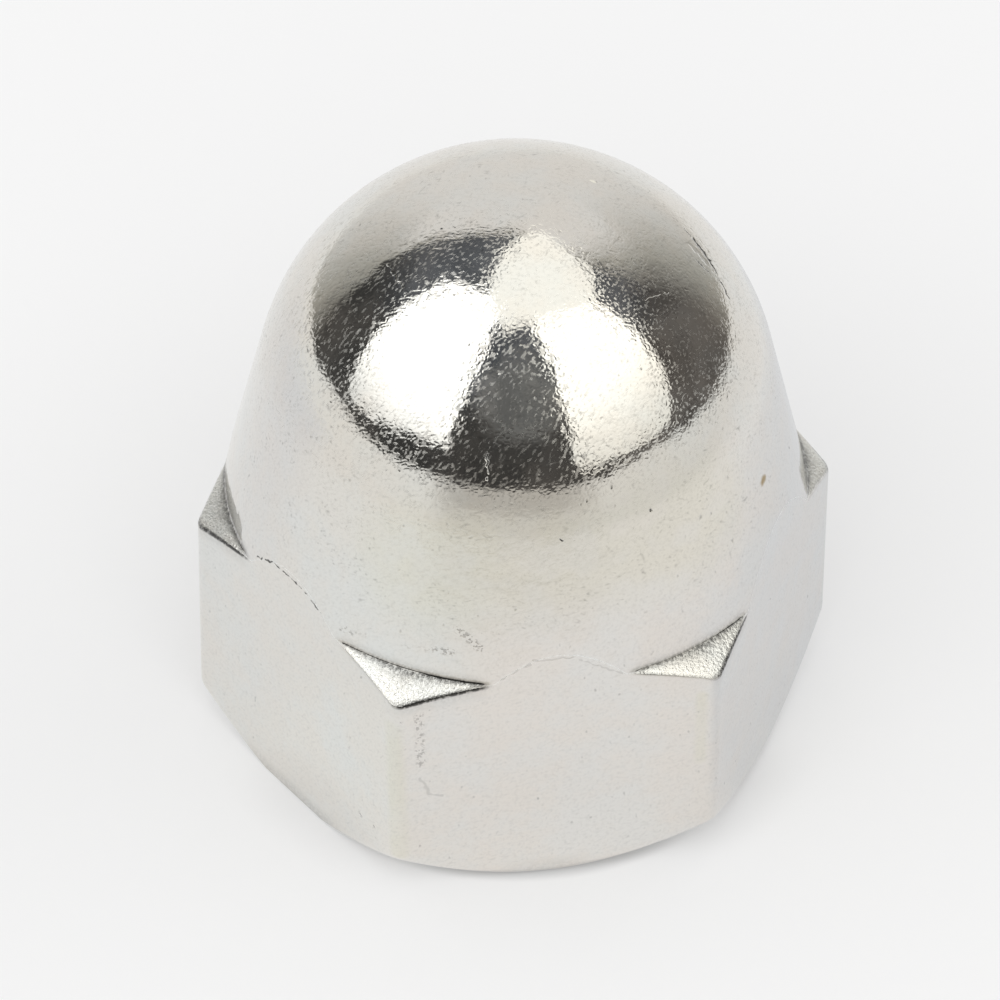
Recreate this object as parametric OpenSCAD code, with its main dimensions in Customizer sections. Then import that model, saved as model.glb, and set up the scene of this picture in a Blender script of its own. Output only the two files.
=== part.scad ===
// Domed cap nut: a hexagon turned down to a tapered round crown, drilled and tapped blind from below.
// Millimetres. The nut stands on its bearing face: the origin is the centre of that face and +Z is
// the thread axis, up through the crown. Two corners of the hexagon point along +X and -X.

/* [Hexagon] */
// Width across two opposite flats
across_flats = 13; // [11.5:0.1:16]
// How much is rubbed off each upright edge, in from the hexagon's true corner
edge_rub = 0.055; // [0:0.005:0.2]
// How far the bearing face stops short of the flats
bearing_step = 0.1; // [0:0.05:0.6]
// Angle of the lower chamfer, up from the bearing face
chamfer_angle = 45; // [20:1:60]
// Height at which the shoulder meets the crown
shoulder_h = 6.4; // [4.5:0.1:8]
// Fall of the shoulder towards the corners
shoulder_angle = 30; // [10:1:45]

/* [Crown] */
// Overall height of the nut
total_h = 15; // [12:0.1:20]
// How far the foot of the crown stands out past the middle of the flats
crown_step = 0.3; // [0:0.05:0.5]
// Draft of the crown's side below its spherical top
crown_draft = 12.5; // [4:0.5:20]

/* [Thread] */
// Major diameter of the thread
thread_d = 8; // [6:0.1:9.6]
// Pitch of the thread
thread_pitch = 1.25; // [0.75:0.05:1.5]
// How much wider the countersink is than the thread
countersink_extra = 0.6; // [0.2:0.1:1]
// Included angle of the countersink at the mouth
countersink_angle = 120; // [90:1:120]
// How much wider the relief at the blind end is than the thread
relief_extra = 0.3; // [0.1:0.1:0.8]
// Length of the relief at the blind end of the thread
relief_len = 2; // [1:0.1:3]
// Point angle of the drill that made the hole
drill_angle = 118; // [90:1:140]
// Metal left between the tip of the drilled hole and the top of the crown
crown_wall = 2; // [1.2:0.1:3.5]

/* [Hidden] */
$fn = 96;
past = 1;    // how far a cutting tool runs past the face that it cuts
corner_r = across_flats / sqrt(3);
edge_r = corner_r - edge_rub;
bearing_r = across_flats / 2 - bearing_step;
chamfer_h = (edge_r - bearing_r) * tan(chamfer_angle);
crown_r = across_flats / 2 + crown_step;
shoulder_drop = (edge_r - crown_r) * tan(shoulder_angle);
// The crown's top is the sphere that touches its drafted side and reaches the overall height.
crown_len = total_h - shoulder_h;
ball_r = (crown_r * cos(crown_draft) - crown_len * sin(crown_draft)) / (1 - sin(crown_draft));
ball_z = total_h - ball_r;
touch_r = ball_r * cos(crown_draft);
touch_z = ball_z + ball_r * sin(crown_draft);
// A metric thread's minor diameter follows from its major diameter and its pitch.
bore_r = (thread_d - 1.0825 * thread_pitch) / 2;
mouth_r = (thread_d + countersink_extra) / 2;
mouth_depth = (mouth_r - bore_r) / tan(countersink_angle / 2);
relief_r = (thread_d + relief_extra) / 2;
drill_tip_h = bore_r / tan(drill_angle / 2);
bore_depth = total_h - crown_wall - drill_tip_h;
steel = [0.80, 0.79, 0.76];

// Straight hexagonal bar, as long as the whole nut
module bar() {
    cylinder(h = total_h, r = corner_r, $fn = 6);
}

// Everything that the lathe leaves: lower chamfer, edge, shoulder and the crown's drafted side
module turned_body() {
    rotate_extrude()
        polygon([
            [0, 0],
            [bearing_r, 0],
            [edge_r, chamfer_h],
            [edge_r, shoulder_h - shoulder_drop],
            [crown_r, shoulder_h],
            [touch_r, touch_z],
            [0, touch_z]
        ]);
}

// Spherical top of the crown
module crown_top() {
    intersection() {
        translate([0, 0, ball_z]) sphere(r = ball_r);
        translate([0, 0, touch_z]) cylinder(h = ball_r, r = crown_r);
    }
}

// Blind hole at the thread's minor diameter, with countersunk mouth, thread relief and drill point
module threaded_hole() {
    translate([0, 0, -past]) cylinder(h = bore_depth + past, r = bore_r);
    translate([0, 0, -past])
        cylinder(h = mouth_depth + past, r1 = mouth_r + past * tan(countersink_angle / 2), r2 = bore_r);
    translate([0, 0, bore_depth - relief_len]) cylinder(h = relief_len, r = relief_r);
    translate([0, 0, bore_depth]) cylinder(h = drill_tip_h, r1 = bore_r, r2 = 0);
}

module cap_nut() {
    color(steel)
        difference() {
            intersection() {
                bar();
                union() {
                    turned_body();
                    crown_top();
                }
            }
            threaded_hole();
        }
}

cap_nut();
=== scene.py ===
import math

import bpy
import numpy as np
from mathutils import Matrix, Vector


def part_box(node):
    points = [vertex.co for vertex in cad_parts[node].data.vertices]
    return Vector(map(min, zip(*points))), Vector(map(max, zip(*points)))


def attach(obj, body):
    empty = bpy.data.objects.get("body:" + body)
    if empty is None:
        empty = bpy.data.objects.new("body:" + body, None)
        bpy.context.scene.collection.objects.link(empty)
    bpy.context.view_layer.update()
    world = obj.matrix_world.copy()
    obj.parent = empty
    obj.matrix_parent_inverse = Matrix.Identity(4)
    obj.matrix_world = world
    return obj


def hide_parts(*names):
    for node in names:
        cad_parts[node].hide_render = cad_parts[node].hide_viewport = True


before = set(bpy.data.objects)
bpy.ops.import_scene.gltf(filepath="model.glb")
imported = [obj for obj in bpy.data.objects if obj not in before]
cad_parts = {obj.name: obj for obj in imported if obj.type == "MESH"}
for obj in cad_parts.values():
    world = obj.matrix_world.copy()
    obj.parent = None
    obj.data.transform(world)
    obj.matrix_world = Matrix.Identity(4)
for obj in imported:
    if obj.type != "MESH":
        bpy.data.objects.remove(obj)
CAD_LOW, CAD_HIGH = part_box("cap_nut")
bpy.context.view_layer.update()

bl_info = {
    "name": "Domed Cap Nut",
    "version": (1, 0, 0),
    "blender": (4, 5, 0),
    "location": "3D View > Sidebar > Cap Nut",
    "description": "Models a polished domed cap nut with a blind metric thread, and its studio stage",
    "category": "Add Mesh",
}

MM = 0.001
SIDES = 6
SECTOR = math.tau / SIDES

# places of these materials on the nut, after the polished steel
SHOULDER, THREAD = 1, 2

# steps in which the sharp profile is drawn up the drafted side of the crown and over its ball
SIDE_STEPS = 12
BALL_STEPS = 120

# how far the drafted side stops short of the ball, and how far past it the ball starts
SIDE_GAP = 0.06 * MM
BALL_GAP = math.radians(0.8)

# least width of the lower chamfer, and of the shoulder's band of rows where it runs out
LEAST_CHAMFER = 0.02 * MM
LEAST_SHOULDER = 0.03 * MM

# distance between the samples of the profile that are rounded, in millimetres
SAMPLE = 0.01

# rows of points up each flat, across the shoulder and up the crown
FLAT_ROWS = 16
SHOULDER_ROWS = 7
CROWN_ROWS = 80

# turns of the columns of points that round an upright edge, from its middle, in degrees
EDGE_TURNS = (0, 0.25, 0.5, 0.75, 1.0, 1.3, 1.65, 2.05, 2.5, 3.05, 3.7)

# columns of points from there to the middle of a flat
FLAT_COLUMNS = 34

# radial depth of an internal metric thread, as a share of its pitch, and the slope of its flanks
THREAD_DEPTH = 0.54125
THREAD_FLANK = math.radians(30)

# columns of points round the hole, rows in each turn of its thread, and rows up its drilled tip
HOLE_COLUMNS = 96
TURN_ROWS = 16
TIP_ROWS = 6

# height of the bottom of the solid that cuts the hole, and of its rows at the countersink
CUTTER_BOTTOM = -0.3 * MM
SINK_START = -0.1 * MM
SINK_END = 0.7 * MM
SINK_STEP = 0.05 * MM


# -------- settings


class CapNutSizes(bpy.types.PropertyGroup):
    """Sizes of the nut, of which the outer ones come from its bounding box."""

    across_flats: bpy.props.FloatProperty(
        name="Across Flats",
        description="Width across two opposite flats",
        default=CAD_HIGH.y - CAD_LOW.y,
        unit="LENGTH",
    )
    across_corners: bpy.props.FloatProperty(
        name="Across Corners",
        description="Width across two opposite upright edges, over their rounding",
        default=CAD_HIGH.x - CAD_LOW.x,
        unit="LENGTH",
    )
    total_height: bpy.props.FloatProperty(
        name="Height",
        description="Height from the bearing face to the top of the crown",
        default=CAD_HIGH.z - CAD_LOW.z,
        unit="LENGTH",
    )
    shoulder_height: bpy.props.FloatProperty(
        name="Shoulder Height",
        description="Height at which the shoulder meets the crown",
        default=6.4 * MM,
        unit="LENGTH",
    )
    shoulder_angle: bpy.props.FloatProperty(
        name="Shoulder Angle",
        description="Fall of the shoulder towards the corners",
        default=math.radians(30),
        subtype="ANGLE",
    )
    shoulder_shift: bpy.props.FloatVectorProperty(
        name="Shoulder Runout",
        description="How far the shoulder was turned off centre",
        size=2,
        default=(-0.21 * MM, 0.12 * MM),
        unit="LENGTH",
    )
    crown_step: bpy.props.FloatProperty(
        name="Crown Step",
        description="How far the foot of the crown stands out past the middle of the flats",
        default=0.3 * MM,
        unit="LENGTH",
    )
    crown_draft: bpy.props.FloatProperty(
        name="Crown Draft",
        description="Draft of the crown's side below its spherical top",
        default=math.radians(12.5),
        subtype="ANGLE",
    )
    crown_shift: bpy.props.FloatVectorProperty(
        name="Crown Runout",
        description="How far the crown was forged off centre",
        size=2,
        default=(0.03 * MM, 0.126 * MM),
        unit="LENGTH",
    )
    bearing_step: bpy.props.FloatProperty(
        name="Bearing Step",
        description="How far the bearing face stops short of the flats",
        default=0.1 * MM,
        unit="LENGTH",
    )
    chamfer_angle: bpy.props.FloatProperty(
        name="Chamfer Angle",
        description="Angle of the lower chamfer, up from the bearing face",
        default=math.radians(45),
        subtype="ANGLE",
    )
    chamfer_shift: bpy.props.FloatVectorProperty(
        name="Chamfer Runout",
        description="How far the lower chamfer was turned off centre",
        size=2,
        default=(-0.2 * MM, 0.01 * MM),
        unit="LENGTH",
    )
    edge_break: bpy.props.FloatProperty(
        name="Edge Break",
        description="Half the width over which tumbling rounded the upper edges",
        default=0.1 * MM,
        unit="LENGTH",
    )
    foot_break: bpy.props.FloatProperty(
        name="Foot Break",
        description="Half the width over which tumbling rounded the lower edges",
        default=0.2 * MM,
        unit="LENGTH",
    )
    thread_major: bpy.props.FloatProperty(
        name="Thread Major Diameter",
        description="Diameter at the roots of the internal thread",
        default=8 * MM,
        unit="LENGTH",
    )
    thread_pitch: bpy.props.FloatProperty(
        name="Thread Pitch",
        description="Distance from one crest of the thread to the next",
        default=1.25 * MM,
        unit="LENGTH",
    )
    countersink_extra: bpy.props.FloatProperty(
        name="Countersink Extra",
        description="How much wider the countersink is than the thread",
        default=0.6 * MM,
        unit="LENGTH",
    )
    countersink_angle: bpy.props.FloatProperty(
        name="Countersink Angle",
        description="Included angle of the countersink at the mouth",
        default=math.radians(120),
        subtype="ANGLE",
    )
    relief_extra: bpy.props.FloatProperty(
        name="Relief Extra",
        description="How much wider the relief at the blind end is than the thread",
        default=0.3 * MM,
        unit="LENGTH",
    )
    relief_length: bpy.props.FloatProperty(
        name="Relief Length",
        description="Length of the relief at the blind end of the thread",
        default=2 * MM,
        unit="LENGTH",
    )
    drill_angle: bpy.props.FloatProperty(
        name="Drill Angle",
        description="Point angle of the drill that made the hole",
        default=math.radians(118),
        subtype="ANGLE",
    )
    crown_wall: bpy.props.FloatProperty(
        name="Crown Wall",
        description="Metal left above the tip of the drilled hole",
        default=2 * MM,
        unit="LENGTH",
    )


class CapNutFinish(bpy.types.PropertyGroup):
    """Colours and roughness of the steel."""

    steel: bpy.props.FloatVectorProperty(
        name="Steel",
        description="Colour of the polished steel",
        subtype="COLOR",
        size=3,
        default=(0.78, 0.765, 0.75),
    )
    # paler than the polished steel of the same metal: a painted brightening of the turned shoulders
    shoulder: bpy.props.FloatVectorProperty(
        name="Shoulder",
        description="Colour of the turned shoulder",
        subtype="COLOR",
        size=3,
        default=(0.92, 0.92, 0.92),
    )
    rust: bpy.props.FloatVectorProperty(
        name="Rust",
        description="Colour of the rust spot on the crown",
        subtype="COLOR",
        size=3,
        default=(0.4, 0.31, 0.18),
    )
    pale_spot: bpy.props.FloatVectorProperty(
        name="Pale Spot",
        description="Colour of the pale spot on the crown",
        subtype="COLOR",
        size=3,
        default=(1.0, 0.98, 0.88),
    )
    polish: bpy.props.FloatProperty(
        name="Polished Roughness",
        description="Roughness of the polished steel between its marks",
        subtype="FACTOR",
        default=0.05,
    )
    turned: bpy.props.FloatProperty(
        name="Turned Roughness",
        description="Roughness of the turned shoulder between its marks",
        subtype="FACTOR",
        default=0.4,
    )
    tapped: bpy.props.FloatProperty(
        name="Tapped Roughness",
        description="Roughness of the tapped thread between its marks",
        subtype="FACTOR",
        default=0.25,
    )


class CapNutStage(bpy.types.PropertyGroup):
    """Place and lens of the camera."""

    azimuth: bpy.props.FloatProperty(
        name="Azimuth",
        description="Camera's turn about the upright axis, from straight in front",
        default=math.radians(-9.01),
        subtype="ANGLE",
    )
    elevation: bpy.props.FloatProperty(
        name="Elevation",
        description="Camera's height above the floor, as an angle",
        default=math.radians(44.51),
        subtype="ANGLE",
    )
    roll: bpy.props.FloatProperty(
        name="Roll",
        description="Camera's roll about its line of sight",
        default=0.01,
        subtype="ANGLE",
    )
    distance: bpy.props.FloatProperty(
        name="Distance",
        description="Distance from the camera to the point that it looks at",
        default=212.0 * MM,
        unit="LENGTH",
    )
    lens: bpy.props.FloatProperty(
        name="Focal Length",
        description="Focal length of the camera, in millimetres",
        default=326.5,
    )
    aim_side: bpy.props.FloatProperty(
        name="Aim Side",
        description="How far right of the nut's axis the camera looks",
        default=-0.337 * MM,
        unit="LENGTH",
    )
    aim_height: bpy.props.FloatProperty(
        name="Aim Height",
        description="Height of the point that the camera looks at",
        default=5.836 * MM,
        unit="LENGTH",
    )


# -------- modelling helpers


def only(thing):
    """Leaves just this object selected and active."""
    bpy.ops.object.select_all(action="DESELECT")
    thing.select_set(True)
    bpy.context.view_layer.objects.active = thing


def wrapped_ball(name, rings, bottom, top):
    """A sphere with its points moved to those of the rings, and to a point at its bottom and one at its top.

    The rounding of the nut's edges follows the curves where a cone meets the hexagon, and a bevel can't.
    """
    count, steps = rings.shape[:2]
    bpy.ops.object.select_all(action="DESELECT")
    bpy.ops.mesh.primitive_uv_sphere_add(segments=steps, ring_count=count + 1, radius=1)
    ball = bpy.context.active_object
    ball.name = name
    ball.data.name = name
    points = np.empty(len(ball.data.vertices) * 3)
    ball.data.vertices.foreach_get("co", points)
    points = points.reshape(-1, 3)
    ring = np.rint(np.arccos(np.clip(-points[:, 2], -1, 1)) / math.pi * (count + 1)).astype(int)
    step = np.rint(np.arctan2(points[:, 1], points[:, 0]) / math.tau * steps).astype(int) % steps
    places = rings[np.clip(ring - 1, 0, count - 1), step]
    places[ring == 0] = (0, 0, bottom)
    places[ring == count + 1] = (0, 0, top)
    ball.data.vertices.foreach_set("co", places.ravel())
    ball.data.update()
    return ball, ring


# -------- the nut's outer skin


def from_corner(turn):
    """Turn about the axis from the nearest upright edge."""
    return (turn + SECTOR / 2) % SECTOR - SECTOR / 2


class NutShape:
    """Radius and height of the nut's outer skin, worked out one upright half-plane at a time."""

    def __init__(self, sizes):
        self.sizes = sizes
        self.half_flats = sizes.across_flats / 2
        corner = self.half_flats / math.cos(math.pi / SIDES)
        short = corner - sizes.across_corners / 2
        self.corner_round = short / (1 / math.cos(math.pi / SIDES) - 1)
        self.crown_radius = self.half_flats + sizes.crown_step
        self.bearing_radius = self.half_flats - sizes.bearing_step
        draft = sizes.crown_draft
        crown_length = sizes.total_height - sizes.shoulder_height
        ball = self.crown_radius * math.cos(draft) - crown_length * math.sin(draft)
        self.ball_radius = ball / (1 - math.sin(draft))
        self.ball_height = sizes.total_height - self.ball_radius

    def hexagon(self, turn):
        """Distance from the axis to the rounded hexagon."""
        turn = from_corner(turn)
        half = SECTOR / 2
        centre = (self.half_flats - self.corner_round) / math.cos(half)
        rounded = math.atan2((self.half_flats - self.corner_round) * math.tan(half), self.half_flats)
        if abs(turn) < half - rounded:
            across = centre * math.sin(turn)
            return centre * math.cos(turn) + math.sqrt(self.corner_round**2 - across**2)
        return self.half_flats / math.cos(half - abs(turn))

    def crown_side(self, turn, height):
        """Distance from the axis to the drafted side of the crown."""
        own = self.crown_radius - (height - self.sizes.shoulder_height) * math.tan(self.sizes.crown_draft)
        along, across = self.shift_parts(self.sizes.crown_shift, turn)
        return along + math.sqrt(own**2 - across**2)

    def crown_side_height(self, turn, radius):
        """Height at which the drafted side of the crown has that distance from the axis."""
        along, across = self.shift_parts(self.sizes.crown_shift, turn)
        own = math.hypot(radius - along, across)
        return self.sizes.shoulder_height + (self.crown_radius - own) / math.tan(self.sizes.crown_draft)

    def crown_top(self, turn, lift):
        """Point of the crown's ball, seen from its middle at that angle above level."""
        along, across = self.shift_parts(self.sizes.crown_shift, turn)
        towards = along * math.cos(lift)
        reach = towards + math.sqrt(self.ball_radius**2 - along**2 - across**2 + towards**2)
        return reach * math.cos(lift), self.ball_height + reach * math.sin(lift)

    def shoulder(self, turn, radius):
        """Height of the turned shoulder at that distance from the axis."""
        along, across = self.shift_parts(self.sizes.shoulder_shift, turn)
        own = math.hypot(radius - along, across)
        fall = (own - self.crown_radius) * math.tan(self.sizes.shoulder_angle)
        return self.sizes.shoulder_height - fall

    def chamfer(self, turn, radius):
        """Height of the lower chamfer at that distance from the axis."""
        along, across = self.shift_parts(self.sizes.chamfer_shift, turn)
        own = math.hypot(radius - along, across)
        return (own - self.bearing_radius) * math.tan(self.sizes.chamfer_angle)

    @staticmethod
    def shift_parts(shift, turn):
        """Parts of a runout along and across the half-plane at that turn."""
        along = shift[0] * math.cos(turn) + shift[1] * math.sin(turn)
        across = shift[1] * math.cos(turn) - shift[0] * math.sin(turn)
        return along, across

    def corners(self, turn):
        """Corners of the profile: bearing edge, foot of the flat, head of the flat, foot of the crown."""
        edge = self.hexagon(turn)
        along, across = self.shift_parts(self.sizes.chamfer_shift, turn)
        bearing = along + math.sqrt(self.bearing_radius**2 - across**2)
        bearing = min(bearing, edge - LEAST_CHAMFER)
        foot = max(self.chamfer(turn, edge), LEAST_CHAMFER)
        seat = self.crown_side(turn, self.sizes.shoulder_height)
        seat_height = self.shoulder(turn, seat)
        seat = self.crown_side(turn, seat_height)
        if edge > seat:
            head = self.shoulder(turn, edge)
            return (bearing, 0), (edge, foot), (edge, head), (seat, seat_height)
        head = self.crown_side_height(turn, edge)
        return (bearing, 0), (edge, foot), (edge, head), (edge, head)


def profile_line(shape, turn):
    """Points of the sharp profile from the middle of the bottom to the top, and how far along it they are.

    The gaps between the drafted side and the ball keep the two from crossing where the crown is off centre.
    """
    corners = shape.corners(turn)
    points = [(0.0, 0.0), *corners]
    side_start = corners[3][1]
    side_end = shape.ball_height + shape.ball_radius * math.sin(shape.sizes.crown_draft) - SIDE_GAP
    for step in range(1, SIDE_STEPS + 1):
        height = side_start + (side_end - side_start) * step / SIDE_STEPS
        points.append((shape.crown_side(turn, height), height))
    ball_start = shape.sizes.crown_draft + BALL_GAP
    for step in range(BALL_STEPS + 1):
        lift = ball_start + (math.pi / 2 - ball_start) * step / BALL_STEPS
        points.append(shape.crown_top(turn, lift))
    line = np.array(points)
    lengths = np.concatenate([[0], np.cumsum(np.hypot(*np.diff(line, axis=0).T))])
    return line, lengths


def row_places(shape, lengths):
    """Place of each row along the profile, half the width that is rounded there, and the shoulder's row."""
    sizes = shape.sizes
    bearing, foot, head, seat = lengths[1:5]
    middle = (head + seat) / 2
    half = max(seat - head, LEAST_SHOULDER) / 2
    head, seat = middle - half, middle + half
    upper = sizes.edge_break
    lower = min(sizes.foot_break, (foot - bearing) * 0.45)
    flat = head - upper - foot - lower
    crown = lengths[-1] - seat - 1.2 * upper
    places = [(bearing * share, upper) for share in (0.3, 0.55, 0.75, 0.9, 0.97)]
    places += [(bearing + lower * share, lower) for share in (-1, -0.5, 0, 0.5, 1)]
    places += [((bearing + foot) / 2, lower)]
    places += [(foot + lower * share, lower) for share in (-1, -0.6, -0.2, 0.2, 0.6, 1)]
    places += [(foot + lower + flat * step / FLAT_ROWS, upper) for step in range(1, FLAT_ROWS)]
    places += [(head + upper * share, upper) for share in (-1, -0.6, -0.2)]
    shoulder = len(places)
    places += [(head + (seat - head) * step / SHOULDER_ROWS, upper) for step in range(SHOULDER_ROWS + 1)]
    places += [(seat + upper * share, upper) for share in (0.3, 0.7, 1.2)]
    places += [(seat + 1.2 * upper + crown * step / CROWN_ROWS, upper) for step in range(1, CROWN_ROWS)]
    return np.array(places), shoulder


def rounded_profile(shape, turn):
    """Radius and height of each row of the rounded profile, and the row at the head of the flat.

    Each row takes the mean of the sharp profile over the width that tumbling rounds there.
    """
    line, lengths = profile_line(shape, turn)
    rows, shoulder = row_places(shape, lengths)
    fine = np.arange(0, lengths[-1], SAMPLE * MM)
    place = rows[:, 0]
    width = np.minimum(np.minimum(rows[:, 1], place), fine[-1] - place)
    means = []
    for values in (line[:, 0], line[:, 1]):
        sampled = np.interp(fine, lengths, values)
        total = np.concatenate([[0], np.cumsum((sampled[1:] + sampled[:-1]) / 2 * SAMPLE * MM)])
        span = np.interp(place + width, fine, total) - np.interp(place - width, fine, total)
        means.append(span / (2 * width))
    return means[0], means[1], shoulder


# painted shade in the rows before and past the outer edge of a shoulder: a dark line along the edge, then
# the crevice at the crown
SHOULDER_SHADE = {
    -3: 0.2, -2: 1.0, -1: 1.6, 0: 1.4, 3: 0.05, 4: 0.12, 5: 0.3, 6: 0.6, 7: 0.9, 8: 0.7, 9: 0.45, 10: 0.2,
}

# how fast the painted shade at the edge grows from one side of a corner to the other, per radian, and its
# least share
EDGE_SHADE_SLOPE = 12
LEAST_EDGE_SHADE = 0.12

# width from which a shoulder holds all its painted shade
SHADED_WIDTH = 0.1 * MM

# painted shade at the very foot, and the height at which it ends
FOOT_SHADE = 0.35
FOOT_SHADE_HEIGHT = 0.35 * MM


def azimuths():
    """Turns about the axis: coarse along the flats and fine at the rounded upright edges."""
    half = math.pi / SIDES
    near = [math.radians(angle) for angle in EDGE_TURNS]
    rest = [near[-1] + (half - near[-1]) * step / FLAT_COLUMNS for step in range(1, FLAT_COLUMNS + 1)]
    first = near + rest
    sector = first + [2 * half - angle for angle in reversed(first[1:-1])]
    return np.array([side * 2 * half + angle for side in range(SIDES) for angle in sector])


def add_painted_shade(skin, shape, rows_past):
    """Attribute of painted shade: above 0 in the crevice and along the outer edge of each shoulder, and at
    the foot.

    The painted shade along the edge is heavy on one side of each corner and nearly absent on the other.
    """
    painted_shade = skin.data.attributes.new("painted_shade", "FLOAT", "POINT")
    for point, past, value in zip(skin.data.vertices, rows_past, painted_shade.data):
        if past in SHOULDER_SHADE:
            turn = math.atan2(point.co.y, point.co.x)
            corners = shape.corners(turn)
            width = corners[2][0] - corners[3][0]
            edge_shade = min(max(0.5 + from_corner(turn) * EDGE_SHADE_SLOPE, LEAST_EDGE_SHADE), 1)
            share = 1 if past > SHOULDER_ROWS // 2 else edge_shade
            value.value = SHOULDER_SHADE[past] * share * min(width / SHADED_WIDTH, 1)
        # painted shade fading up from the foot
        elif point.co.z < FOOT_SHADE_HEIGHT:
            value.value = FOOT_SHADE * (1 - point.co.z / FOOT_SHADE_HEIGHT)


def model_skin(sizes):
    """Closed outer skin of the nut, with a full bottom."""
    shape = NutShape(sizes)
    turns = azimuths()
    profiles = [rounded_profile(shape, turn) for turn in turns]
    radius = np.array([profile[0] for profile in profiles]).T
    height = np.array([profile[1] for profile in profiles]).T
    rings = np.stack([radius * np.cos(turns), radius * np.sin(turns), height], axis=2)
    top = shape.crown_top(0, math.pi / 2)[1]
    skin, ring = wrapped_ball("cap_nut_body", rings, 0, top)
    shoulder = profiles[0][2]
    add_painted_shade(skin, shape, ring - 1 - shoulder)
    for face in skin.data.polygons:
        if shoulder < min(ring[point] for point in face.vertices) <= shoulder + SHOULDER_ROWS:
            face.material_index = SHOULDER
    return skin


# -------- the threaded hole


def hole_radius(sizes, turn, height, depth):
    """Radius of the tapped hole at that turn and height."""
    pitch = sizes.thread_pitch
    major = sizes.thread_major / 2
    minor = major - THREAD_DEPTH * pitch
    along = (height / pitch - turn / math.tau) % 1
    from_crest = min(along, 1 - along) * pitch
    thread = min(max(minor + (from_crest - pitch / 8) / math.tan(THREAD_FLANK), minor), major)
    mouth = major + sizes.countersink_extra / 2
    sink = mouth - height * math.tan(sizes.countersink_angle / 2)
    if height > depth - sizes.relief_length:
        return major + sizes.relief_extra / 2
    return max(thread, sink)


def hole_heights(sizes, depth):
    """Heights of the rows up the hole's side, fine at the countersink and then in step with the thread."""
    heights = [CUTTER_BOTTOM]
    height = SINK_START
    while height < SINK_END:
        heights.append(height)
        height += SINK_STEP
    relief = depth - sizes.relief_length
    count = round((relief - height) / (sizes.thread_pitch / TURN_ROWS))
    heights += [height + (relief - height) * step / count for step in range(count + 1)]
    return heights + [relief + 0.02 * MM, relief + sizes.relief_length / 2, depth]


def model_hole(sizes):
    """Closed solid that fills the tapped hole and stands out a little below the bearing face."""
    minor = sizes.thread_major / 2 - THREAD_DEPTH * sizes.thread_pitch
    tip = minor / math.tan(sizes.drill_angle / 2)
    depth = sizes.total_height - sizes.crown_wall - tip
    turns = np.arange(HOLE_COLUMNS) * math.tau / HOLE_COLUMNS
    rows = []
    for height in hole_heights(sizes, depth):
        rows.append([(hole_radius(sizes, turn, height, depth), height) for turn in turns])
    for step in range(TIP_ROWS):
        radius = minor * (1 - step / TIP_ROWS)
        height = depth + tip * step / TIP_ROWS + 0.01 * MM
        rows.append([(radius, height)] * HOLE_COLUMNS)
    radius, height = np.moveaxis(np.array(rows), 2, 0)
    rings = np.stack([radius * np.cos(turns), radius * np.sin(turns), height], axis=2)
    return wrapped_ball("threaded_hole_cutter", rings, CUTTER_BOTTOM, depth + tip)[0]


# -------- nodes


def add_node(tree, kind, values=None, **settings):
    """Adds a node, sets its properties, and sets or links its inputs."""
    made = tree.nodes.new(kind)
    for name, value in settings.items():
        setattr(made, name, value)
    for name, value in (values or {}).items():
        if isinstance(value, bpy.types.NodeSocket):
            tree.links.new(value, made.inputs[name])
        else:
            made.inputs[name].default_value = value
    return made


def maths(tree, operation, first, *others, clamp=False):
    """Output of Math nodes that take the others to the first value, one after another."""
    for other in others:
        values = {0: first, 1: other}
        first = add_node(tree, "ShaderNodeMath", values, operation=operation, use_clamp=clamp).outputs[0]
    return first


def vector_maths(tree, operation, *values, scale=None, output="Vector"):
    """Output of a Vector Math node with those inputs."""
    inputs = dict(enumerate(values))
    if scale is not None:
        inputs["Scale"] = scale
    return add_node(tree, "ShaderNodeVectorMath", inputs, operation=operation).outputs[output]


def along(tree, vector, axis):
    """How far the vector goes along that axis."""
    return vector_maths(tree, "DOT_PRODUCT", vector, axis, output="Value")


def smooth(tree, value, low, high, start=0.0, end=1.0):
    """Output that goes smoothly from start to end as value goes from low to high."""
    limits = {"Value": value, "From Min": low, "From Max": high, "To Min": start, "To Max": end}
    made = add_node(tree, "ShaderNodeMapRange", limits, interpolation_type="SMOOTHSTEP")
    return made.outputs["Result"]


def blend(tree, factor, first, second, blend_type="MIX"):
    """Colour between first and second."""
    made = add_node(tree, "ShaderNodeMix", data_type="RGBA", blend_type=blend_type)
    for socket, value in ((0, factor), (6, first), (7, second)):
        if isinstance(value, bpy.types.NodeSocket):
            tree.links.new(value, made.inputs[socket])
        elif socket:
            made.inputs[socket].default_value = (*value, 1)
        else:
            made.inputs[socket].default_value = value
    return made.outputs[2]


def noise(tree, vector, scale, detail, rough=0.5):
    """Factor of a Noise Texture node."""
    values = {"Vector": vector, "Scale": scale, "Detail": detail, "Roughness": rough}
    return add_node(tree, "ShaderNodeTexNoise", values).outputs["Fac"]


# -------- marks on the steel


# how the marks of tumbling are turned: its bumpy dashes, dull pocks and dark tears
DASH_TURNS = ((0.3, 0.2, 0.5), (0.9, -0.4, 1.6))
POCK_TURN = (-0.5, 0.7, 2.6)
TEAR_TURNS = ((0.1, 0.2, 0.3), (0.9, 0.5, -0.9))

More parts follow.
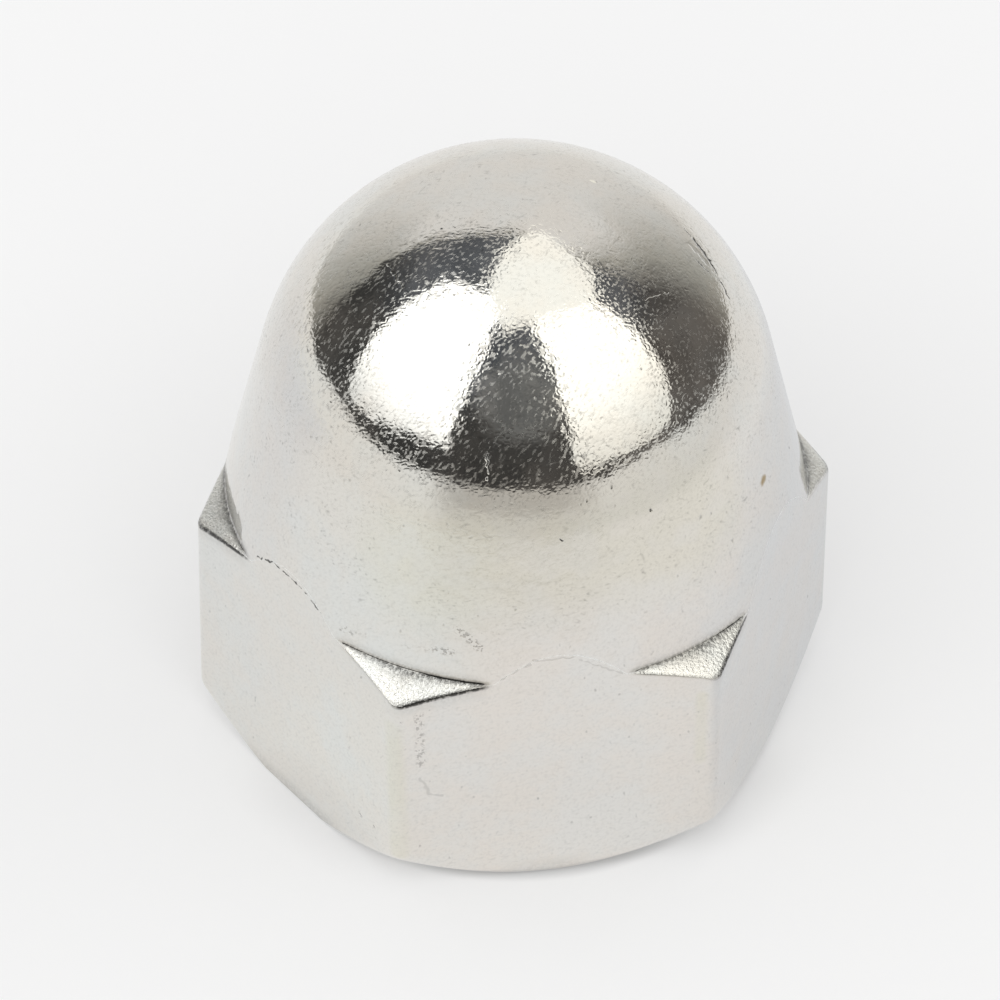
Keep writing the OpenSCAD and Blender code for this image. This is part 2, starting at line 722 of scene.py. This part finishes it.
# laps, scratches, scuffs, films and spots: where each starts and ends and how wide it is, in millimetres
LAPS = (
    ((-6.3, -2.05, 6.87), (-6.0, -2.6, 7.2), 0.03),
    ((-6.0, -2.6, 7.2), (-5.45, -3.5, 7.2), 0.04),
    ((-5.45, -3.5, 7.2), (-5.1, -4.1, 6.92), 0.034),
    ((3.8, 0.56, 13.67), (4.05, 0.26, 13.49), 0.03),
    ((4.1, 0.2, 13.44), (4.4, -0.23, 13.14), 0.07),
    ((4.4, -0.23, 13.14), (4.55, -0.5, 12.96), 0.045),
    ((4.58, -0.62, 12.9), (4.75, -0.98, 12.6), 0.045),
    ((4.04, -0.5, 13.46), (4.3, -0.66, 13.18), 0.03),
    ((-1.41, -4.83, 12.15), (-1.45, -5.11, 11.65), 0.03),
    ((2.27, -5.34, 10.4), (2.3, -5.36, 10.38), 0.05),
    ((0.12, -5.82, 10.23), (0.16, -5.84, 10.2), 0.035),
)
SCRATCHES = (
    ((4.09, 0.55, 13.39), (4.42, 0.05, 13.1), 0.06),
    ((3.9, 0.9, 13.5), (4.05, 0.65, 13.41), 0.04),
    ((4.0, -0.1, 13.5), (4.3, -0.4, 13.2), 0.12),
    ((-3.03, -0.42, 14.15), (-2.82, -1.2, 14.13), 0.035),
    ((2.59, -2.17, 13.94), (3.18, -1.8, 13.76), 0.035),
    ((-1.5, -6.5, 6.5), (-0.64, -6.5, 7.0), 0.04),
    ((-0.55, -6.5, 7.1), (0.4, -6.5, 7.1), 0.045),
    ((0.5, -6.5, 7.0), (1.5, -6.5, 6.4), 0.04),
    ((-3.15, -6.5, 3.61), (-2.95, -6.5, 3.05), 0.06),
    ((-2.95, -6.5, 3.05), (-2.63, -6.5, 3.0), 0.05),
)
SCUFFS = (
    ((-3.2, -6.5, 5.7), (-3.15, -6.5, 4.1), 0.16),
    ((-4.41, -5.36, 1.5), (-4.39, -5.4, 1.45), 0.13),
    ((-4.15, -5.82, 1.55), (-4.15, -5.82, 1.4), 0.1),
    ((-4.15, -5.81, 1.1), (-4.12, -5.84, 1.06), 0.1),
    ((-3.21, -6.5, 1.42), (-3.17, -6.5, 1.4), 0.1),
    ((-3.61, -6.49, 5.52), (-3.6, -6.49, 5.45), 0.08),
    ((-4.61, -5.01, 3.37), (-4.6, -5.02, 3.33), 0.07),
    ((-2.1, -6.5, 4.28), (-2.05, -6.5, 4.2), 0.08),
    ((-4.7, -4.6, 6.85), (-2.4, -6.05, 7.2), 0.14),
    ((-2.2, -5.95, 7.8), (-1.75, -6.2, 7.4), 0.16),
)
FILMS = (
    ((-2.9, -5.2, 9.3), (3.4, -5.0, 9.6), 2.3),
    ((-3.8, -6.4, 5.2), (-3.66, -6.5, 1.2), 0.36),
    ((3.36, -6.55, 5.4), (3.37, -6.55, 3.3), 0.22),
)
RUST = ((5.23, -3.32, 8.95), (5.27, -3.26, 8.95), 0.15)
PALE_SPOT = ((1.93, 1.22, 14.59), (1.95, 1.2, 14.59), 0.08)

# depth of the laps, scratches and scuffs, in millimetres
LAP_DEPTH = 0.02
SCRATCH_DEPTH = 0.005
SCUFF_DEPTH = 0.003


def millimetres(tree, rotation=(0, 0, 0), stretch=(1, 1, 1)):
    """Object coordinates in millimetres, turned and stretched."""
    coords = add_node(tree, "ShaderNodeTexCoord").outputs["Object"]
    turned = add_node(tree, "ShaderNodeMapping", {"Vector": coords, "Rotation": rotation})
    scale = [part / MM for part in stretch]
    return add_node(tree, "ShaderNodeMapping", {"Vector": turned.outputs[0], "Scale": scale}).outputs[0]


def dashes(tree, rotation, stretch, low, high):
    """Mask of short dashes that lie along the turned X axis, where stretched noise passes low."""
    level = noise(tree, millimetres(tree, rotation, stretch), 1.0, 0.0)
    raised = maths(tree, "MULTIPLY", maths(tree, "SUBTRACT", level, low, clamp=True), 1 / (high - low))
    return maths(tree, "POWER", raised, 1.5)


def mark(tree, place, start, end, width):
    """Mask of a mark along the line from start to end."""
    start, end = Vector(start), Vector(end)
    middle, reach = (start + end) / 2, (end - start).length / 2
    axis = (end - start).normalized()
    offset = vector_maths(tree, "SUBTRACT", place, middle)
    limits = {"Value": along(tree, offset, axis), "Min": -reach, "Max": reach}
    foot = vector_maths(tree, "SCALE", axis, scale=add_node(tree, "ShaderNodeClamp", limits).outputs[0])
    away = vector_maths(tree, "DISTANCE", offset, foot, output="Value")
    return smooth(tree, away, width, width * 0.3)


def any_mark(tree, place, marks):
    """Mask of all those marks."""
    return maths(tree, "MAXIMUM", *[mark(tree, place, *values) for values in marks])


def swayed(tree, place):
    """The place moved a little by noise, so that the marks drawn there wander."""
    values = {"Vector": place, "Scale": 7.0, "Detail": 0.0}
    sway = add_node(tree, "ShaderNodeTexNoise", values).outputs["Color"]
    sway = vector_maths(tree, "SUBTRACT", sway, (0.5, 0.5, 0.5))
    return vector_maths(tree, "ADD", place, vector_maths(tree, "SCALE", sway, scale=0.11))


def tumbling_marks(tree, place, cloud):
    """Marks of tumbling: faint lines, bumpy dashes, dull pocks, nicks and dark tears."""
    height = along(tree, place, (0, 0, 1))
    patches = smooth(tree, noise(tree, place, 2.6, 1.0), 0.35, 0.65, 0.75, 1.25)
    worn = maths(tree, "MULTIPLY", patches, smooth(tree, height, 8.0, 12.5, 0.35, 1.0))
    crowded = smooth(tree, cloud, 0.42, 0.62, 0.25, 1.0)
    crown = smooth(tree, height, 6.8, 8.6, 0.3, 1.0)

    def turned_dashes(turns, *shape):
        return maths(tree, "ADD", *[dashes(tree, turn, *shape) for turn in turns])

    lines = turned_dashes(DASH_TURNS, (6.5, 15.0, 15.0), 0.46, 0.95)
    tears = turned_dashes(TEAR_TURNS, (4.5, 13.0, 13.0), 0.6, 0.9)
    pocks = noise(tree, millimetres(tree, POCK_TURN, (7.5, 16.0, 16.0)), 1.0, 0.0)
    return {
        "lines": lines,
        "dash": maths(tree, "MULTIPLY", lines, worn),
        "pocks": maths(tree, "MULTIPLY", smooth(tree, pocks, 0.46, 0.8), worn),
        "nick": dashes(tree, DASH_TURNS[1], (3.5, 9.0, 9.0), 0.76, 0.9),
        "tears": maths(tree, "MULTIPLY", tears, crowded, crown),
    }


def surface_group():
    """Marks of forging, tumbling and use, and painted shade at the shoulders and foot: their height in
    millimetres, and masks of each kind.
    """
    group = bpy.data.node_groups.new("tumbled_surface", "ShaderNodeTree")
    for name, default in (("Peel", 0.012), ("Dashes", 0.0019), ("Nicks", 0.003), ("Grain", 0.0)):
        socket = group.interface.new_socket(name, in_out="INPUT", socket_type="NodeSocketFloat")
        socket.default_value = default
    for name in ("Height", "Wear", "Dirt and Shade", "Rust", "Pale Spot", "Film", "Stain"):
        group.interface.new_socket(name, in_out="OUTPUT", socket_type="NodeSocketFloat")
    inputs = group.nodes.new("NodeGroupInput").outputs
    outputs = group.nodes.new("NodeGroupOutput").inputs

    def share(value, factor):
        return maths(group, "MULTIPLY", value, factor)

    plain = millimetres(group)
    place = swayed(group, plain)
    cloud = noise(group, plain, 1.3, 1.0)
    grain = noise(group, plain, 13.0, 1.0, 0.6)
    tumbled = tumbling_marks(group, plain, cloud)
    lap = any_mark(group, place, LAPS)
    scratch = any_mark(group, place, SCRATCHES)
    scuff = share(any_mark(group, place, SCUFFS), smooth(group, grain, 0.5, 0.62))
    film = share(any_mark(group, plain, FILMS), smooth(group, cloud, 0.3, 0.6, 0.6, 1.0))
    # painted shade at the shoulders' edges, in the crevices at the crown and at the foot, made ragged by the
    # grain
    painted_shade = add_node(group, "ShaderNodeAttribute", attribute_name="painted_shade").outputs["Fac"]
    painted_shade = share(painted_shade, smooth(group, grain, 0.35, 0.6, 0.5, 1.0))

    peel = maths(group, "ADD", noise(group, plain, 1.1, 0.0), share(noise(group, plain, 5.0, 0.0), 0.28))
    height = maths(
        group, "SUBTRACT",
        share(peel, inputs["Peel"]),
        share(tumbled["dash"], inputs["Dashes"]),
        share(tumbled["nick"], inputs["Nicks"]),
        share(lap, LAP_DEPTH),
        share(scratch, SCRATCH_DEPTH),
        share(scuff, SCUFF_DEPTH),
    )
    # dark real marks, and the painted shade
    dirt_and_shade = maths(
        group, "MAXIMUM",
        share(tumbled["nick"], 0.3),
        share(tumbled["tears"], 0.33),
        share(tumbled["lines"], 0.1),
        lap,
        share(scratch, 0.2),
        share(scuff, 0.35),
        painted_shade,
    )
    results = {
        "Height": maths(group, "ADD", height, share(grain, inputs["Grain"])),
        "Wear": maths(group, "ADD", tumbled["pocks"], share(tumbled["dash"], 0.4), scuff),
        "Dirt and Shade": dirt_and_shade,
        "Rust": mark(group, place, *RUST),
        "Pale Spot": mark(group, place, *PALE_SPOT),
        "Film": film,
        "Stain": noise(group, plain, 0.45, 4.0, 0.65),
    }
    for name, value in results.items():
        group.links.new(value, outputs[name])
    return group


def tinted(colour, *factors):
    """The colour with each part multiplied by its factor."""
    return [part * factor for part, factor in zip(colour, factors)]


def steel_material(name, group, finish, colour, roughness, **depths):
    """Steel of that colour, with the marks of the group at those depths."""
    material = bpy.data.materials.new(name)
    material.use_nodes = True
    tree = material.node_tree
    shader = tree.nodes["Principled BSDF"]
    shader.inputs["Metallic"].default_value = 1
    marks = add_node(tree, "ShaderNodeGroup", node_tree=group)
    for socket, depth in depths.items():
        marks.inputs[socket].default_value = depth
    stain = smooth(tree, marks.outputs["Stain"], 0.35, 0.65)
    tint = blend(tree, stain, tinted(colour, 1, 0.985, 0.955), tinted(colour, 0.98, 1, 1))
    for mask, marked in (
        ("Film", tinted(colour, 0.975, 0.97, 0.9)),
        # darkens the real marks and the painted shade
        ("Dirt and Shade", tinted(colour, 0.12, 0.12, 0.12)),
        ("Rust", finish.rust),
        ("Pale Spot", finish.pale_spot),
    ):
        tint = blend(tree, marks.outputs[mask], tint, marked)
    tree.links.new(tint, shader.inputs["Base Color"])
    rough = smooth(tree, marks.outputs["Wear"], -0.1, 1.0, roughness, roughness + 0.24)
    tree.links.new(rough, shader.inputs["Roughness"])
    relief = {"Height": marks.outputs["Height"], "Strength": 1.0, "Distance": MM}
    bump = add_node(tree, "ShaderNodeBump", relief)
    tree.links.new(bump.outputs["Normal"], shader.inputs["Normal"])
    return material


# -------- the nut


class CAPNUT_OT_body(bpy.types.Operator):
    """Model the nut's body and cut its threaded hole"""

    bl_idname = "cap_nut.body"
    bl_label = "Cap Nut Body"
    bl_options = {"REGISTER", "UNDO"}

    def execute(self, context):
        sizes = context.scene.cap_nut_sizes
        finish = context.scene.cap_nut_finish
        body = model_skin(sizes)
        cutter = model_hole(sizes)
        group = surface_group()
        materials = [
            steel_material("polished_steel", group, finish, finish.steel, finish.polish),
            steel_material("turned_shoulder", group, finish, finish.shoulder, finish.turned, Grain=0.022),
            steel_material("thread_steel", group, finish, finish.steel, finish.tapped, Grain=0.005),
        ]
        for material in materials:
            body.data.materials.append(material)
            cutter.data.materials.append(material)
        for face in cutter.data.polygons:
            face.material_index = THREAD
        only(body)
        cut = body.modifiers.new("threaded_hole", "BOOLEAN")
        cut.operation = "DIFFERENCE"
        cut.solver = "EXACT"
        cut.object = cutter
        bpy.ops.object.modifier_apply(modifier=cut.name)
        bpy.data.objects.remove(cutter)
        only(body)
        bpy.ops.object.shade_smooth_by_angle(angle=math.radians(35))
        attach(body, "root")
        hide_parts("cap_nut")
        return {"FINISHED"}


# -------- camera


def add_camera(stage):
    """Camera at the stage's settings."""
    back = Vector((
        math.sin(stage.azimuth) * math.cos(stage.elevation),
        -math.cos(stage.azimuth) * math.cos(stage.elevation),
        math.sin(stage.elevation),
    ))
    right = Vector((math.cos(stage.azimuth), math.sin(stage.azimuth), 0))
    up = back.cross(right)
    data = bpy.data.cameras.new("camera")
    data.lens = stage.lens
    data.sensor_width = 36
    data.clip_start = 0.01
    camera = bpy.data.objects.new("camera", data)
    bpy.context.scene.collection.objects.link(camera)
    place = back * stage.distance + right * stage.aim_side + Vector((0, 0, stage.aim_height))
    turned_right = right * math.cos(stage.roll) + up * math.sin(stage.roll)
    turned_up = up * math.cos(stage.roll) - right * math.sin(stage.roll)
    camera.matrix_world = Matrix((
        (turned_right.x, turned_up.x, back.x, place.x),
        (turned_right.y, turned_up.y, back.y, place.y),
        (turned_right.z, turned_up.z, back.z, place.z),
        (0, 0, 0, 1),
    ))
    bpy.context.scene.camera = camera


# -------- the room that the metal mirrors


# corners of each window as seen from the nut: azimuth from straight in front and height, in degrees
WINDOWS = {
    "left": ((-91, 8), (-78, 11.8), (-60, 14), (-40, 15.6), (-39, 88), (-112, 86), (-122, 61), (-110, 42)),
    "right": ((17.5, 88), (17.5, 11.5), (41, 8.8), (64, 8.8), (74.5, 27), (82, 45), (90, 57.5), (100, 88)),
    "top": (
        (-26, 73), (18, 76.6), (90, 57.5), (110, 56), (150, 56.5), (168, 54), (178, 63), (-168, 70),
        (-145, 73),
    ),
}
WINDOW_LIGHT = {"left": (1.8, 1.78, 1.7), "right": (1.7, 1.67, 1.54), "top": (1.23, 1.21, 1.12)}

# sine of the height where the window starts to fade, where it is full, and its least share of the light
WINDOW_FADE = {"left": (0.15, 0.6, 0.53), "right": (0.1, 0.85, 0.57), "top": (0.2, 0.5, 0.9)}

# height of the point from which the far table is given the room's colours, in millimetres
MIRROR_HEIGHT = 10.0

# turn in degrees, energy in watts per square metre, and spread in degrees of each lamp
LAMPS = {
    "overhead": ((0, 0, 0), 2.15, 160),
    "key": ((40, -14, 0), 1.18, 70),
}

# darker and paler shade of each part of the dim room
ROOM = {
    "low": ((0.045, 0.044, 0.042), (0.085, 0.08, 0.074)),
    "low_right": ((0.08, 0.073, 0.067), (0.15, 0.138, 0.126)),
    "high": ((0.075, 0.08, 0.088), (0.14, 0.145, 0.155)),
    "stand": ((0.14, 0.14, 0.135), (0.27, 0.265, 0.25)),
}

# colour of the background to the eye, past the end of the table
BACKGROUND = (0.913, 0.913, 0.913)


def direction(azimuth, elevation):
    """Unit vector at that azimuth, from straight in front, and that height above the floor, in degrees."""
    turn, lift = math.radians(azimuth), math.radians(elevation)
    return Vector((math.sin(turn) * math.cos(lift), -math.cos(turn) * math.cos(lift), math.sin(lift)))


def bearing(tree, sight, azimuth):
    """Cosine of the turn about the upright axis between the sight and that azimuth."""
    level = vector_maths(tree, "NORMALIZE", vector_maths(tree, "MULTIPLY", sight, (1, 1, 0)))
    return along(tree, level, direction(azimuth, 0))


def window_mask(tree, sight, corners, softness):
    """Mask of the window that has its corners in those directions, as seen from the nut."""
    places = [direction(*corner) for corner in corners]
    middle = sum(places, Vector((0, 0, 0))).normalized()
    sides = []
    for first, second in zip(places, places[1:] + places[:1]):
        side = first.cross(second).normalized()
        if side.dot(middle) < 0:
            side.negate()
        sides.append(along(tree, sight, side))
    return smooth(tree, maths(tree, "MINIMUM", *sides), -softness, softness)


def dark_room(tree, sight, height):
    """Dim cloudy room, cooler high up and paler on the right, with a grey stand in front of the nut."""
    cloud = smooth(tree, noise(tree, sight, 3.5, 3.0, 0.6), 0.35, 0.65)
    low, low_right, high, stand = [blend(tree, cloud, *shades) for shades in ROOM.values()]
    low = blend(tree, smooth(tree, along(tree, sight, (1, 0, 0)), 0.2, 0.9), low, low_right)
    room = blend(tree, smooth(tree, height, 0.5, 0.8), low, high)
    ahead = smooth(tree, along(tree, sight, direction(-5, 46)), 0.92, 0.995)
    return blend(tree, ahead, room, stand)


def sweep_mask(tree, sight, height):
    """Share of the pale sweep that stands behind the nut and slants off on the left."""
    behind = maths(tree, "SUBTRACT", bearing(tree, sight, 173.5), 0.36)
    behind = maths(tree, "DIVIDE", behind, 0.64, clamp=True)
    behind = maths(tree, "MULTIPLY", behind, smooth(tree, height, 0.45, 0.65, 1.0, 1.3), clamp=True)
    slant = smooth(tree, along(tree, sight, (-0.2, 0, 1)), 0.92, 0.77)
    flank = direction(-145, 40).cross(direction(-160, 50)).normalized()
    flank = smooth(tree, along(tree, sight, flank), -0.05, 0.05)
    return maths(tree, "MULTIPLY", behind, slant, flank)


def surroundings(tree, sight):
    """Dark room with a pale sweep behind, and the pale table up to its edge."""
    height = along(tree, sight, (0, 0, 1))
    behind = sweep_mask(tree, sight, height)
    colour = dark_room(tree, sight, height)
    colour = blend(tree, smooth(tree, behind, 0.0, 0.5), colour, (0.42, 0.405, 0.36))
    colour = blend(tree, smooth(tree, behind, 0.36, 1.0), colour, (0.83, 0.815, 0.785))
    front = smooth(tree, bearing(tree, sight, -10), 0.78, 0.96)
    right = smooth(tree, along(tree, sight, (1, 0, 0)), -0.4, 0.4)
    table = blend(tree, right, (0.90, 0.885, 0.84), (0.83, 0.82, 0.78))
    table = blend(tree, front, table, (0.56, 0.54, 0.50))
    edge = maths(tree, "ADD", along(tree, sight, (-0.07, -0.17, 0)), 0.03)
    edge = maths(tree, "MAXIMUM", maths(tree, "MINIMUM", edge, 0.085), -0.075)
    above = maths(tree, "SUBTRACT", height, edge)
    return blend(tree, smooth(tree, above, 0.018, -0.018), colour, table)


def studio_world():
    """Dark room with three bright windows, seen in the metal and not by the camera."""
    world = bpy.data.worlds.new("studio")
    world.use_nodes = True
    tree = world.node_tree
    coords = add_node(tree, "ShaderNodeTexCoord").outputs["Generated"]
    sight = vector_maths(tree, "NORMALIZE", coords)
    height = along(tree, sight, (0, 0, 1))
    colour = surroundings(tree, sight)
    for name, corners in WINDOWS.items():
        mask = window_mask(tree, sight, corners, 0.008)
        bottom, top, least = WINDOW_FADE[name]
        bright = smooth(tree, height, bottom, top, least, 1.0)
        light = [maths(tree, "MULTIPLY", bright, part) for part in WINDOW_LIGHT[name]]
        light = add_node(tree, "ShaderNodeCombineXYZ", dict(enumerate(light))).outputs[0]
        colour = blend(tree, mask, colour, light)
    camera_ray = add_node(tree, "ShaderNodeLightPath").outputs["Is Camera Ray"]
    colour = blend(tree, camera_ray, colour, BACKGROUND)
    tree.links.new(colour, tree.nodes["Background"].inputs["Color"])
    return world


# -------- the table


def mirrored_table(tree, place, reach, sight):
    """Colour that the metal mirrors: the pale table near the nut with a painted shadow on its right, and the
    room's shades far from it.
    """
    forward = add_node(tree, "ShaderNodeSeparateXYZ", {"Vector": place}).outputs["Y"]
    side = along(tree, sight, (1, 0, 0))
    front = smooth(tree, bearing(tree, sight, -10), 0.78, 0.96)
    colour = blend(tree, smooth(tree, side, -0.4, 0.4), (0.90, 0.885, 0.845), (0.81, 0.80, 0.77))
    colour = blend(tree, front, colour, (0.75, 0.73, 0.68))
    near = blend(tree, smooth(tree, side, -0.6, -0.1), (0.92, 0.945, 0.93), (0.955, 0.925, 0.895))
    colour = blend(tree, smooth(tree, reach, 45.0, 18.0), colour, near)
    colour = blend(tree, smooth(tree, forward, -20.0, 20.0), colour, (0.89, 0.885, 0.865))
    far_left = maths(tree, "MULTIPLY", smooth(tree, side, -0.4, -0.9), smooth(tree, forward, -2.0, 8.0))
    colour = blend(tree, far_left, colour, (0.92, 0.925, 0.955), "MULTIPLY")
    # painted shadow of the nut on the table to its right, as the metal mirrors it
    shaded = maths(tree, "MULTIPLY", smooth(tree, side, 0.2, 0.55), smooth(tree, reach, 26.0, 14.0))
    colour = blend(tree, shaded, colour, (0.76, 0.785, 0.835), "MULTIPLY")
    return blend(tree, smooth(tree, reach, 35.0, 150.0), colour, surroundings(tree, sight))


def seen_table(tree, place, reach):
    """Colour of the table to the eye and its colour under the lamps, both with a painted contact shadow
    where the nut touches it and a painted soft shadow beside its oblique front flanks, and to the eye also a
    painted shadow band through the nut.
    """
    forward = add_node(tree, "ShaderNodeSeparateXYZ", {"Vector": place}).outputs["Y"]
    ahead = bearing(tree, place, -5)
    flanks = smooth(tree, ahead, 0.97, 0.75)
    # painted contact shadow where the nut touches the table, darkest in front
    painted_contact_shadow = blend(tree, flanks, (0.68, 0.68, 0.68), (0.93, 0.93, 0.93))
    # painted soft shadow beside the nut's oblique front flanks
    oblique = maths(
        tree, "MULTIPLY", flanks, smooth(tree, ahead, 0.3, 0.6), smooth(tree, reach, 8.0, 6.6),
    )
    shade = blend(tree, oblique, (1.0, 1.0, 1.0), (0.93, 0.93, 0.93))
    contact = smooth(tree, reach, 6.45, 6.8)
    # painted soft shadow band across the table through the nut, for the camera only
    off_band = {0: maths(tree, "SUBTRACT", forward, 2.0)}
    off_band = add_node(tree, "ShaderNodeMath", off_band, operation="ABSOLUTE")
    shadow_band = smooth(tree, off_band.outputs[0], 2.0, 16.0)
    seen = blend(tree, shadow_band, (0.89, 0.89, 0.89), (0.985, 0.985, 0.985))
    colours = []
    for colour in (seen, (0.93, 0.93, 0.93)):
        colour = blend(tree, contact, painted_contact_shadow, colour)
        colours.append(blend(tree, 1.0, colour, shade, "MULTIPLY"))
    return colours


def glow_share(tree, path, place, reach, sight):
    """Share of the table's light that is its own glow, least in the shadow at the nut's foot."""
    front = smooth(tree, bearing(tree, sight, -10), 0.78, 0.96)
    # more glow at the front of the foot and at its front left: painted light that the lower flats and the
    # chamfer mirror
    front_foot = maths(tree, "MULTIPLY", front, smooth(tree, reach, 9.5, 7.0, 0.0, 0.25))
    left_foot = maths(
        tree, "MULTIPLY",
        smooth(tree, bearing(tree, place, -52), 0.86, 0.96, 0.0, 0.3),
        smooth(tree, reach, 7.0, 7.8),
        smooth(tree, reach, 11.0, 9.0),
    )
    mirrored = maths(tree, "ADD", smooth(tree, reach, 8.0, 45.0, 0.5, 1.0), front_foot, left_foot)
    seen = maths(tree, "MULTIPLY", path.outputs["Is Camera Ray"], 0.38)
    mirrored = maths(tree, "MULTIPLY", path.outputs["Is Glossy Ray"], mirrored)
    share = maths(tree, "ADD", seen, mirrored)
    return maths(tree, "MULTIPLY", share, smooth(tree, reach, 5.8, 7.0, 0.3, 1.0))


def table_material():
    """Pale paper, lit by the lamps and with some glow of its own that keeps the background pale."""
    paper = bpy.data.materials.new("floor_paper")
    paper.use_nodes = True
    tree = paper.node_tree
    shader = tree.nodes["Principled BSDF"]
    shader.inputs["Roughness"].default_value = 1
    shader.inputs["Specular IOR Level"].default_value = 0
    place = millimetres(tree)
    reach = vector_maths(tree, "LENGTH", place, output="Value")
    sight = vector_maths(tree, "NORMALIZE", vector_maths(tree, "SUBTRACT", place, (0, 0, MIRROR_HEIGHT)))
    path = add_node(tree, "ShaderNodeLightPath")
    seen, lit = seen_table(tree, place, reach)
    colour = blend(
        tree, path.outputs["Is Camera Ray"], mirrored_table(tree, place, reach, sight), seen,
    )
    tree.links.new(lit, shader.inputs["Base Color"])
    glow = add_node(tree, "ShaderNodeEmission", {"Color": colour, "Strength": 1.0})
    share = glow_share(tree, path, place, reach, sight)
    mix = add_node(tree, "ShaderNodeMixShader", {0: share, 1: shader.outputs[0], 2: glow.outputs[0]})
    tree.links.new(mix.outputs[0], tree.nodes["Material Output"].inputs["Surface"])
    return paper


def add_floor():
    """Pale table top."""
    bpy.ops.object.select_all(action="DESELECT")
    bpy.ops.mesh.primitive_plane_add(size=3)
    floor = bpy.context.active_object
    floor.name = "floor"
    floor.data.materials.append(table_material())


def add_lamps():
    """Soft lamps from overhead and from the left, which light the table and aren't mirrored by the metal."""
    for name, (turn, energy, spread) in LAMPS.items():
        rotation = [math.radians(angle) for angle in turn]
        bpy.ops.object.light_add(type="SUN", rotation=rotation)
        lamp = bpy.context.active_object
        lamp.name = name
        lamp.data.energy = energy
        lamp.data.angle = math.radians(spread)
        lamp.visible_glossy = False


class CAPNUT_OT_stage(bpy.types.Operator):
    """Set the floor, the lights and the camera"""

    bl_idname = "cap_nut.stage"
    bl_label = "Stage"
    bl_options = {"REGISTER", "UNDO"}

    def execute(self, context):
        scene = context.scene
        add_camera(scene.cap_nut_stage)
        add_floor()
        add_lamps()
        scene.world = studio_world()
        scene.world.cycles_visibility.diffuse = False
        scene.view_settings.view_transform = "Standard"
        return {"FINISHED"}


# -------- the add-on


class CAPNUT_PT_panel(bpy.types.Panel):
    """Cap nut tools"""

    bl_idname = "CAPNUT_PT_panel"
    bl_label = "Cap Nut"
    bl_space_type = "VIEW_3D"
    bl_region_type = "UI"
    bl_category = "Cap Nut"

    def draw(self, context):
        layout = self.layout
        for operator in OPERATORS:
            layout.operator(operator.bl_idname)
        for group, setting in GROUPS.items():
            box = layout.box()
            for name in group.__annotations__:
                box.prop(getattr(context.scene, setting), name)


OPERATORS = (CAPNUT_OT_body, CAPNUT_OT_stage)
GROUPS = {
    CapNutSizes: "cap_nut_sizes",
    CapNutFinish: "cap_nut_finish",
    CapNutStage: "cap_nut_stage",
}
CLASSES = (*GROUPS, *OPERATORS, CAPNUT_PT_panel)


def register():
    for item in CLASSES:
        bpy.utils.register_class(item)
    for group, name in GROUPS.items():
        setattr(bpy.types.Scene, name, bpy.props.PointerProperty(type=group))


def unregister():
    for name in GROUPS.values():
        delattr(bpy.types.Scene, name)
    for item in reversed(CLASSES):
        bpy.utils.unregister_class(item)


def main():
    register()
    bpy.ops.cap_nut.body()
    bpy.ops.cap_nut.stage()


if __name__ == "__main__":
    main()
